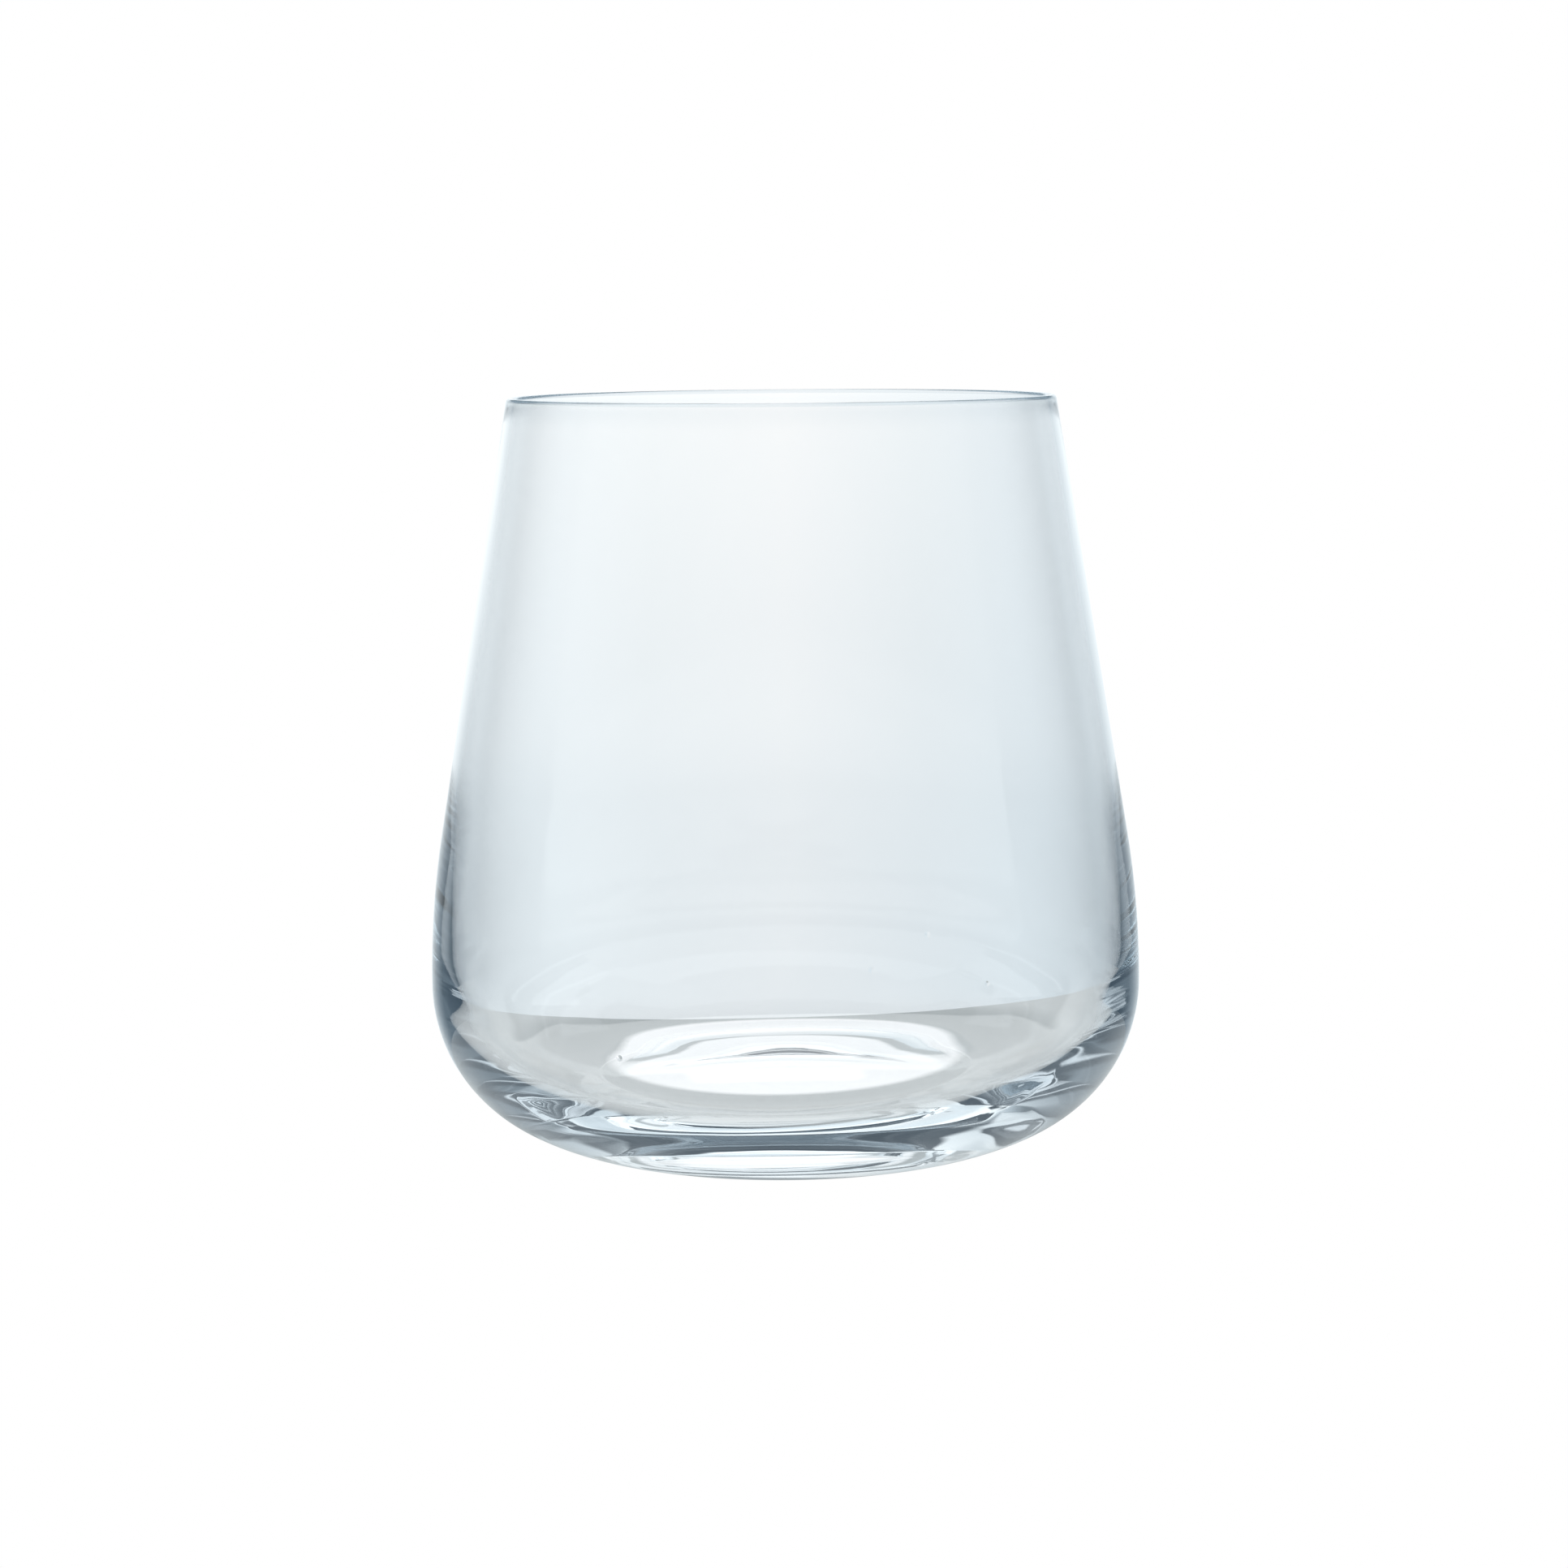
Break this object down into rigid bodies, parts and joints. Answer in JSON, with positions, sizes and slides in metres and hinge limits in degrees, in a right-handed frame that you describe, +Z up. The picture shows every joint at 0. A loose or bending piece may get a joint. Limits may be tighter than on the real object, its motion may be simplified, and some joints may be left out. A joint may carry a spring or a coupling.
{
  "type": "mixing glass",
  "caption": "Clear glass vessel that tapers up to a narrow mouth with a thin polished lip, over a heavy rounded base with a foot ring, for stirring or serving drinks.",
  "frame": {"origin": "centre of the foot ring, on the surface that the glass stands on", "axes": "+Z up along the axis of the glass; it is round, so +X and +Y are any two level directions at right angles"},
  "size_m": [0.095, 0.095, 0.1],
  "materials": {
    "clear_glass": "fire-polished, clear with a faint cool tint"
  },
  "bodies": {
    "root": {"glass_vessel": "clear_glass"}
  },
  "joints": []
}
